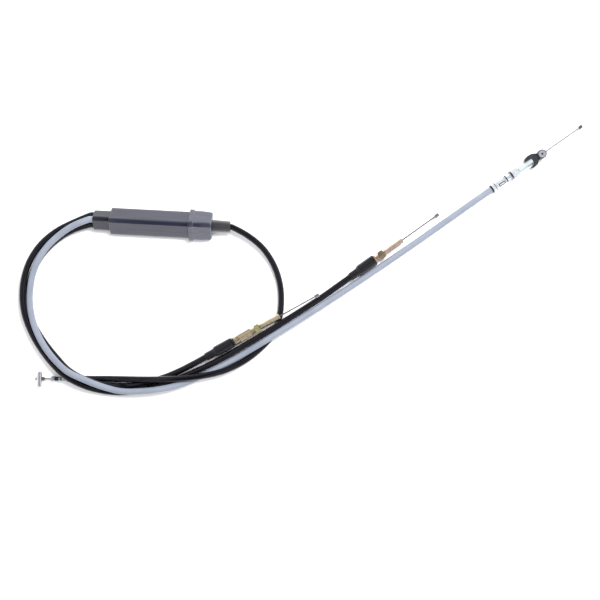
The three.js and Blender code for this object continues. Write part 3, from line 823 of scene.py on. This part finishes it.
def build_cables():
    for cable in CABLES:
        path = PATHS[cable]
        skin = "black_jacket" if cable in BLACK_CABLES else "grey_jacket"
        jacket = swept(f"{cable}_jacket_skin", path, JACKET_R, JACKET_BORE)
        piece(jacket.name, jacket, "housing", MAT[skin], [f"{cable}_jacket"])
        conduit = swept(f"{cable}_conduit_coil", path[::2], CONDUIT_R, CONDUIT_BORE, 14)
        piece(conduit.name, conduit, "housing", MAT["wound"], [f"{cable}_conduit"])
        liner = swept(f"{cable}_liner_tube", path[::2], LINER_R, LINER_BORE, 12)
        piece(liner.name, liner, "housing", MAT["liner"], [f"{cable}_liner"])


# ---- End fittings ----

def fitting(name, mesh, body, material, nodes, cable, angle=32):
    """A piece drawn in the axes of a cable's end."""
    smooth(mesh, angle)
    piece(name, mesh, body, material, nodes, END[cable])


def build_wire(cable, x0, x1, node, body, material="wire", depth=0.14):
    wire = spun(f"{node}_strands", strand_rows(x0, x1, WIRE_R, depth), 36)
    smooth(wire, 60)
    piece(wire.name, wire, body, MAT[material], [node], END[cable])


def build_adjuster(cable, skin):
    """The hexagonal fitting: a grooved collar, the hexagon, a waist and the thread."""
    sides = 96
    collar = [
        (0.6, 3.65), (0.6, 4.0), (0.9, 4.2), (2.0, 4.2), (2.0, 3.95), (2.5, 3.95), (2.5, 4.2), (6.0, 4.2),
        (6.3, 3.9),
    ]
    waist = [(20.0, 3.7), (20.6, 3.5), (20.6, 2.95), (21.4, 2.45), (22, 2.45)]
    rows = fillet(collar, 0.12, 3)
    rows += hexagon_rows(CARB_HEX["start"], CARB_HEX["end"], CARB_HEX["flats"], sides=sides)
    rows += fillet(waist, 0.1, 3)
    rows += thread_rows(CARB_THREAD["start"], CARB_THREAD["end"], CARB_THREAD["radius"], sides=sides)
    rows += [(51.4, 2.75), (52, 2.4), (52, WIRE_BORE_R), (9, WIRE_BORE_R), (9, FERRULE_BORE_R)]
    mesh = spun(f"{cable}_adjuster_turned", rows, sides, loop=True)
    body = f"{cable}_adjuster"
    fitting(mesh.name, mesh, body, MAT[skin], [body], cable, 28)


def build_lock_nut(cable, skin):
    sides = 96
    rows = hexagon_rows(LOCK_NUT["start"], LOCK_NUT["end"], LOCK_NUT["flats"], sides=sides)
    rows += [(29.5, 3.3), (29.2, 3.0), (24.3, 3.0), (24, 3.3)]
    nut = spun(f"{cable}_lock_nut_hex", rows, sides, loop=True)
    body = f"{cable}_lock_nut"
    fitting(nut.name, nut, body, MAT[skin], [body], cable, 28)


def build_boot(cable, start, wide):
    """The rubber boot: a narrow neck on the housing that opens into a wide skirt over the fitting."""
    neck = [(0, 3.4), (0, 3.9, 0.35), (1.6, 4.0, 0.2), (8.8, 4.0, 0.8)]
    skirt = [(11.8, wide, 1.0), (28, wide, 0.4), (30, wide - 0.15, 0.6)]
    bore = [(30, 4.75, 0.3), (11.2, 4.75), (7.5, 3.4)]
    outline = [(start + x, *rest) for x, *rest in neck + skirt + bore]
    boot = lathe(f"{cable}_boot_rubber", outline, 0.3, 64)
    fitting(boot.name, boot, f"{cable}_boot", MAT["boot"], [f"{cable}_boot"], cable)


def build_carb(cable, boot_start, boot_wide, adjuster_skin, nut_skin):
    build_adjuster(cable, adjuster_skin)
    build_lock_nut(cable, nut_skin)
    build_boot(cable, boot_start, boot_wide)
    build_wire(cable, 42, 91.6, f"{cable}_wire_end", f"{cable}_pull")
    outline = [(91.7, 0), (91.7, 1.7), (92.2, 1.9), (96.5, 1.9), (96.5, 0)]
    nipple = lathe(f"{cable}_nipple_cast", outline, 0.35, 32)
    fitting(nipple.name, nipple, f"{cable}_pull", MAT["nipple"], [f"{cable}_nipple"], cable)


def build_lever():
    build_lever_ferrule()
    build_wire("lever", -40, 21.9, "lever_wire_end", "lever_pull")
    build_lever_barrel()


def build_lever_ferrule():
    outline = [
        (0.3, 1.0), (0.3, 3.0), (5.0, 3.0, 0.4), (5.0, 2.2), (6.0, 2.2), (6.0, 2.7), (8.0, 2.7), (8.0, 2.1),
        (11.8, 2.1), (11.8, 2.6), (15.4, 2.6), (15.4, 1.0),
    ]
    ferrule = lathe("lever_ferrule_turned", outline, 0.2, 48)
    nodes = ["lever_end_ferrule"]
    fitting(ferrule.name, ferrule, "housing", MAT["stepped"], nodes, "lever")


def build_lever_barrel():
    """The cross barrel with a groove near one end, and the solder that fills its cable hole."""
    half, r, low = BARREL_LENGTH / 2, BARREL_R, 2.6
    groove = [(half - 1.6, r, 0.1), (half - 1.4, low, 0.1), (half - 1.1, low, 0.1), (half - 0.9, r, 0.1)]
    outline = [(-half, 0), (-half, 1.5, 0.3), (-half + 0.9, r, 0.5), *groove, (half, r, 0.3), (half, 0)]
    barrel = lathe("barrel", outline, 0.4, 56)
    barrel.transform(Matrix.Translation((BARREL_AT * MM, 0, 0)) @ Matrix.Rotation(math.pi / 2, 4, "Z"))
    filled = [(21.9, 0), (21.9, 0.95), (23.6, 2.1, 0.4), (25.2, 1.5), (31, 1.3), (31.6, 0.7), (31.6, 0)]
    plug = lathe("lever_solder_plug", filled, 0.15, 40)
    bored = [(20, 0), (20, 2.3), (24.7, 2.3), (25.2, 1.53), (31, 1.33), (33, 1.33), (33, 0)]
    hole = lathe("hole", bored, 0.0, 40)
    barrel = combined("lever_barrel_cast", barrel, [hole], "DIFFERENCE")
    fitting(barrel.name, barrel, "lever_pull", MAT["chrome"], ["lever_barrel"], "lever")
    fitting(plug.name, plug, "lever_pull", MAT["solder"], ["lever_barrel"], "lever")


def slot_cutter():
    """The groove that outlines a slot on the pump fitting's body, cut into its side."""
    x0, x1, y, line = SLOT["start"], SLOT["end"], SLOT["half_width"], SLOT["line"]
    flat = rounded_plate("flat", [(x0, -y), (x1, -y), (x1, y), (x0, y)], 3.3, 6.0, 0.0)
    x0, x1, y = x0 + line, x1 - line, y - line
    island = rounded_plate("island", [(x0, -y), (x1, -y), (x1, y), (x0, y)], 3.0, 6.5, 0.0)
    cutter = combined("flat", flat, [island], "DIFFERENCE")
    cutter.transform(Matrix.Rotation(math.radians(SLOT["turn"]), 4, "X"))
    return cutter


def build_pump_adjuster():
    """The round fitting: a body with two grooves and a slot, a dark waist and the thread."""
    sides, r = 96, PUMP_BODY_R
    outline = [
        (1.5, 3.65), (1.5, 4.3), (2.0, r), (4.6, r), (4.6, 4.2), (5.2, 4.2), (5.2, r),
        (15.9, r), (15.9, 4.25), (16.3, 4.25), (16.3, r), (17.1, r), (17.3, 4.2), (17.3, 2.6), (18.8, 2.5),
    ]
    rows = fillet(outline, 0.12, 3)
    rows += thread_rows(PUMP_THREAD["start"], PUMP_THREAD["end"], PUMP_THREAD["radius"], sides=sides)
    rows += [(32.6, 2.8), (33, 2.5), (33, 2.0), (28, 2.0), (28, WIRE_BORE_R), (11.2, WIRE_BORE_R)]
    rows += [(11.2, FERRULE_BORE_R)]
    mesh = spun("pump_adjuster_turned", rows, sides, loop=True)
    mesh = combined("pump_adjuster_turned", mesh, [slot_cutter()], "DIFFERENCE")
    body = "pump_adjuster"
    fitting(mesh.name, mesh, body, MAT["slotted_zinc"], [body], "pump", 28)


def build_pump_ring(name, x0, x1, radius, body):
    outline = [(x0, NUT_BORE_R), (x0, radius), (x1, radius), (x1, NUT_BORE_R)]
    ring = lathe(name + "_turned", outline, 0.25, 48)
    fitting(ring.name, ring, body, MAT["ring"], [name], "pump")


def build_pump_nut():
    """A hexagon nut with a round flange."""
    sides = 96
    rows = fillet([(25.3, NUT_BORE_R), (25.3, 5.2), (26.2, 5.2), (26.6, 4.75)], 0.25, 3)
    rows += hexagon_rows(PUMP_NUT["start"], PUMP_NUT["end"], PUMP_NUT["flats"], sides=sides)
    rows += [(32.4, 3.4), (32.1, NUT_BORE_R)]
    nut = spun("pump_nut_hex", rows, sides, loop=True)
    fitting(nut.name, nut, "pump_nut", MAT["silver_zinc"], ["pump_nut"], "pump", 28)


def build_pump():
    build_pump_adjuster()
    build_pump_ring("pump_lock_ring", 17.7, 18.7, 4.3, "pump_adjuster")
    build_pump_ring("pump_washer", 23.9, 25.0, 4.5, "pump_nut")
    build_pump_nut()
    outline = [(28.5, 1.0), (28.5, 1.7), (33.3, 1.7), (33.3, 2.5), (50, 2.5), (50, 1.0)]
    sleeve = lathe("pump_guide_tube", outline, 0.25, 48)
    fitting(sleeve.name, sleeve, "pump_adjuster", MAT["nylon"], ["pump_guide_sleeve"], "pump")
    build_wire("pump", 44, 106.5, "pump_wire_end", "pump_pull", "bright_wire", 0.05)
    nipple = lathe("pump_nipple_cast", [(106.6, 0), (106.6, 1.8), (110.4, 1.9), (110.4, 0)], 0.35, 32)
    fitting(nipple.name, nipple, "pump_pull", MAT["solder"], ["pump_nipple"], "pump")
    build_clip()


def quadratic(start, control, end, steps=8):
    """Points of a quadratic curve, leaving out its start."""
    a, b, c = (np.array(p, float) for p in (start, control, end))
    shares = (np.arange(steps) + 1) / steps
    return [tuple((1 - t) ** 2 * a + 2 * t * (1 - t) * b + t * t * c) for t in shares]


def claw_outline():
    """The claw seen from above, in the fitting's frame; its mouth opens towards the cable."""
    line = [(42.4, 3.3), (43.6, 2.8), (50.4, 2.8), (50.4, -2.8)]
    line += quadratic(line[-1], (49.8, -4.2), (45.6, -4.6))
    line += [(43.1, -4.7)]
    line += quadratic(line[-1], (46.4, -6.9), (51.7, -6.3))
    line += quadratic(line[-1], (53.6, -5.2), (55.2, -3.3))
    line += [(CLIP_BARREL_AT, -3.3), (CLIP_BARREL_AT, 3.3), (57.2, 3.3)]
    line += quadratic(line[-1], (54, 6.6), (49, 6.6))
    line += quadratic(line[-1], (46, 6.4), (43.8, 5.2))
    return line


def rounded_plate(name, outline, z0, z1, edge):
    """A flat outline given thickness, its rims rounded over by edge."""
    shell = bmesh.new()
    lower = [shell.verts.new((x * MM, y * MM, z0 * MM)) for x, y in outline]
    face = shell.faces.new(lower)
    grown = bmesh.ops.extrude_face_region(shell, geom=[face])
    top = [v for v in grown["geom"] if isinstance(v, bmesh.types.BMVert)]
    bmesh.ops.translate(shell, verts=top, vec=(0, 0, (z1 - z0) * MM))
    bmesh.ops.recalc_face_normals(shell, faces=shell.faces)
    rims = [e for e in shell.edges if abs(e.verts[0].co.z - e.verts[1].co.z) < 1e-7]
    if edge:
        bmesh.ops.bevel(
            shell, geom=rims, offset=edge * MM, segments=4, affect="EDGES", profile=0.5, clamp_overlap=True
        )
    mesh = bpy.data.meshes.new(name)
    shell.to_mesh(mesh)
    shell.free()
    return mesh


def build_clip():
    """The claw's plate, the upright barrel that holds the nipple, and the rib between them."""
    plate = rounded_plate("claw", claw_outline(), -CLAW_HALF_THICKNESS, CLAW_HALF_THICKNESS, 1.5)
    barrel_outline = [
        (-4.4, 0), (-4.4, 4.5, 0.5), (6.4, 4.5, 0.4), (6.4, 3.7, 0.1), (6.2, 3.5, 0.1), (6.2, 1.1, 0.1),
        (5.4, 0.8, 0.1), (5.4, 0),
    ]
    barrel = lathe("barrel", barrel_outline, 0.3, 56)
    barrel.transform(Matrix.Rotation(-math.pi / 2, 4, "Y"))
    barrel.transform(Matrix.Translation((CLIP_BARREL_AT * MM, 0, 0)))
    rib = lathe("rib", [(55, 0), (55.4, 1.4), (60, 2.2), (60, 0)], 0.3, 24)
    rib.transform(Matrix.Translation((0, 0, 1.6 * MM)))
    bore = lathe("bore", [(49, 0), (49, 1.1), (66, 1.1), (66, 0)], 0.0, 24)
    body = combined("clip", plate, [barrel, rib], "UNION")
    body = combined("pump_clip_claw", body, [bore], "DIFFERENCE")
    fitting(body.name, body, "pump_clip", MAT["clip"], ["pump_clip"], "pump", 40)


# ---- Pieces kept from the frame, and the housings' end ferrules ----

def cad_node(name, material):
    """Keeps a CAD node's own shape and gives it a finish."""
    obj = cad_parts[name]
    obj.data.materials.clear()
    obj.data.materials.append(material)
    smooth(obj.data, 35)


def build_end_ferrule(cable, rim_start, rim_end, rim_r):
    """A pressed cup over the end of a housing, with a rim that stays outside the fitting."""
    wall = SEATED_AT[cable] + 0.2
    outline = [
        (rim_start, 3.2), (rim_start, rim_r), (rim_end, rim_r), (rim_end, 3.5),
        (wall + 1.2, 3.5), (wall + 1.2, 1.0), (wall, 1.0), (wall, 3.2),
    ]
    cup = lathe(f"{cable}_end_ferrule_pressed", outline, 0.2, 48)
    fitting(cup.name, cup, "housing", MAT["dark_ring"], [f"{cable}_end_ferrule"], cable)


def build_hidden():
    """Pieces inside the box, the housings and the fittings."""
    for cable in CABLES:
        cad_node(f"{cable}_inner_ferrule", MAT["ferrule"])
        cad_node(f"{cable}_inner_nipple", MAT["solder"])
        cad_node(f"{cable}_inner_wire", MAT["wire"])
        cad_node(f"{cable}_core_wire", MAT["wire"])
    build_end_ferrule("carb1", -1.4, 0.3, 4.0)
    build_end_ferrule("carb2", -1.4, 0.3, 4.0)
    build_end_ferrule("pump", 0.2, 1.1, 4.1)
    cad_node("slider", MAT["acetal"])
    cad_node("inlet_plug", MAT["acetal"])


# ---- Stage ----

def build_stage():
    mesh = bpy.data.meshes.new("floor")
    half, middle = 3.0, Vector((0.15, -0.07, -0.0003))
    corners = [middle + Vector((x * half, y * half, 0)) for x, y in ((-1, -1), (1, -1), (1, 1), (-1, 1))]
    mesh.from_pydata([tuple(c) for c in corners], [], [(0, 1, 2, 3)])
    n = Nodes("white_table")
    colour = n.ramp(n.noise(2.0, 2), [(0.3, (0.93, 0.93, 0.94)), (0.7, (0.95, 0.95, 0.96))])
    roughness = n.spread(n.noise(30, 3), 0.85, 0.95)
    mesh.materials.append(n.finish(colour, roughness))
    floor = bpy.data.objects.new("floor", mesh)
    bpy.context.scene.collection.objects.link(floor)


def area_light(name, place, aim, size, power, colour):
    """A square light turned towards a point. It's hidden from reflections, which see the world instead."""
    light = bpy.data.lights.new(name, "AREA")
    light.shape = "SQUARE"
    light.size = size
    light.energy = power
    light.color = colour
    obj = bpy.data.objects.new(name, light)
    obj.location = place
    obj.rotation_euler = (Vector(aim) - Vector(place)).to_track_quat("-Z", "Y").to_euler()
    obj.visible_glossy = False
    bpy.context.scene.collection.objects.link(obj)


def level_ramp(tree, factor, stops):
    """A near-white level that follows factor through (place, level) stops."""
    ramp = tree.nodes.new("ShaderNodeValToRGB")
    bar = ramp.color_ramp
    while len(bar.elements) < len(stops):
        bar.elements.new(0.5)
    for element, (place, level) in zip(bar.elements, stops):
        element.position = place
        element.color = (level, level, level * 1.02, 1)
    tree.links.new(factor, ramp.inputs["Fac"])
    return ramp.outputs["Color"]


def lightest(tree, a, b):
    node = tree.nodes.new("ShaderNodeMix")
    node.data_type = "RGBA"
    node.blend_type = "LIGHTEN"
    node.inputs[0].default_value = 1.0
    tree.links.new(a, node.inputs[6])
    tree.links.new(b, node.inputs[7])
    return node.outputs[2]


def math_node(tree, operation, value):
    """A node that works on one value; its other input is left for the caller."""
    node = tree.nodes.new("ShaderNodeMath")
    node.operation = operation
    tree.links.new(value, node.inputs[0])
    return node


def reflected_studio(tree, split):
    """What reflections see: a dark ceiling, walls at both ends, a bright +Y panel and a dim -Y wall."""
    sideways = math_node(tree, "ABSOLUTE", split.outputs["X"]).outputs[0]
    minus_y = math_node(tree, "MULTIPLY", split.outputs["Y"])
    minus_y.inputs[1].default_value = -1.0
    ceiling = level_ramp(tree, split.outputs["Z"], [(0.0, 0.9), (0.12, 0.55), (0.35, 0.12), (0.8, 0.04)])
    panel = level_ramp(tree, split.outputs["Y"], [(0.66, 0.0), (0.88, 0.35), (0.96, 0.95), (1.0, 1.5)])
    wall_levels = [(0.08, 0.0), (0.2, 0.7), (0.34, 0.7), (0.45, 0.35), (0.65, 0.8), (1.0, 0.9)]
    walls = level_ramp(tree, sideways, wall_levels)
    dim_wall = level_ramp(tree, minus_y.outputs[0], [(0.6, 0.0), (0.75, 0.4), (0.9, 0.5), (0.98, 0.5)])
    return lightest(tree, lightest(tree, lightest(tree, ceiling, panel), walls), dim_wall)


def build_world():
    """An even white light on everything, with a studio of panels for the reflections alone."""
    world = bpy.data.worlds.new("studio")
    bpy.context.scene.world = world
    world.use_nodes = True
    tree = world.node_tree
    background = tree.nodes["Background"]
    coords = tree.nodes.new("ShaderNodeTexCoord")
    split = tree.nodes.new("ShaderNodeSeparateXYZ")
    tree.links.new(coords.outputs["Generated"], split.inputs[0])
    even = level_ramp(tree, split.outputs["Z"], [(0.0, 1.0), (1.0, 1.06)])
    glossy = reflected_studio(tree, split)
    path = tree.nodes.new("ShaderNodeLightPath")
    choose = tree.nodes.new("ShaderNodeMix")
    choose.data_type = "RGBA"
    tree.links.new(path.outputs["Is Glossy Ray"], choose.inputs[0])
    tree.links.new(even, choose.inputs[6])
    tree.links.new(glossy, choose.inputs[7])
    tree.links.new(choose.outputs[2], background.inputs["Color"])
    background.inputs["Strength"].default_value = 1.0


def build_camera():
    camera = bpy.data.cameras.new("camera")
    camera.sensor_fit = "HORIZONTAL"
    camera.angle = math.radians(28.07)
    camera.clip_start = 0.01
    obj = bpy.data.objects.new("camera", camera)
    obj.location = (0.1528, -0.0688, 1.2)
    obj.rotation_euler = (0, 0, math.radians(3.0))
    bpy.context.scene.collection.objects.link(obj)
    bpy.context.scene.camera = obj


build_body()
build_sleeve()
build_cap()
build_nose()
build_cables()
build_lever()
build_carb("carb1", -32, 5.25, "yellow_zinc", "green_zinc")
build_carb("carb2", -11.5, 5.45, "rose_zinc", "brown_zinc")
build_pump()
build_hidden()
build_stage()
build_world()
area_light("key", (0.47, 0.48, 1.25), (0.1, -0.07, 0), 0.5, 25, (1, 0.99, 0.98))
build_camera()
bpy.context.scene.view_settings.view_transform = "Standard"
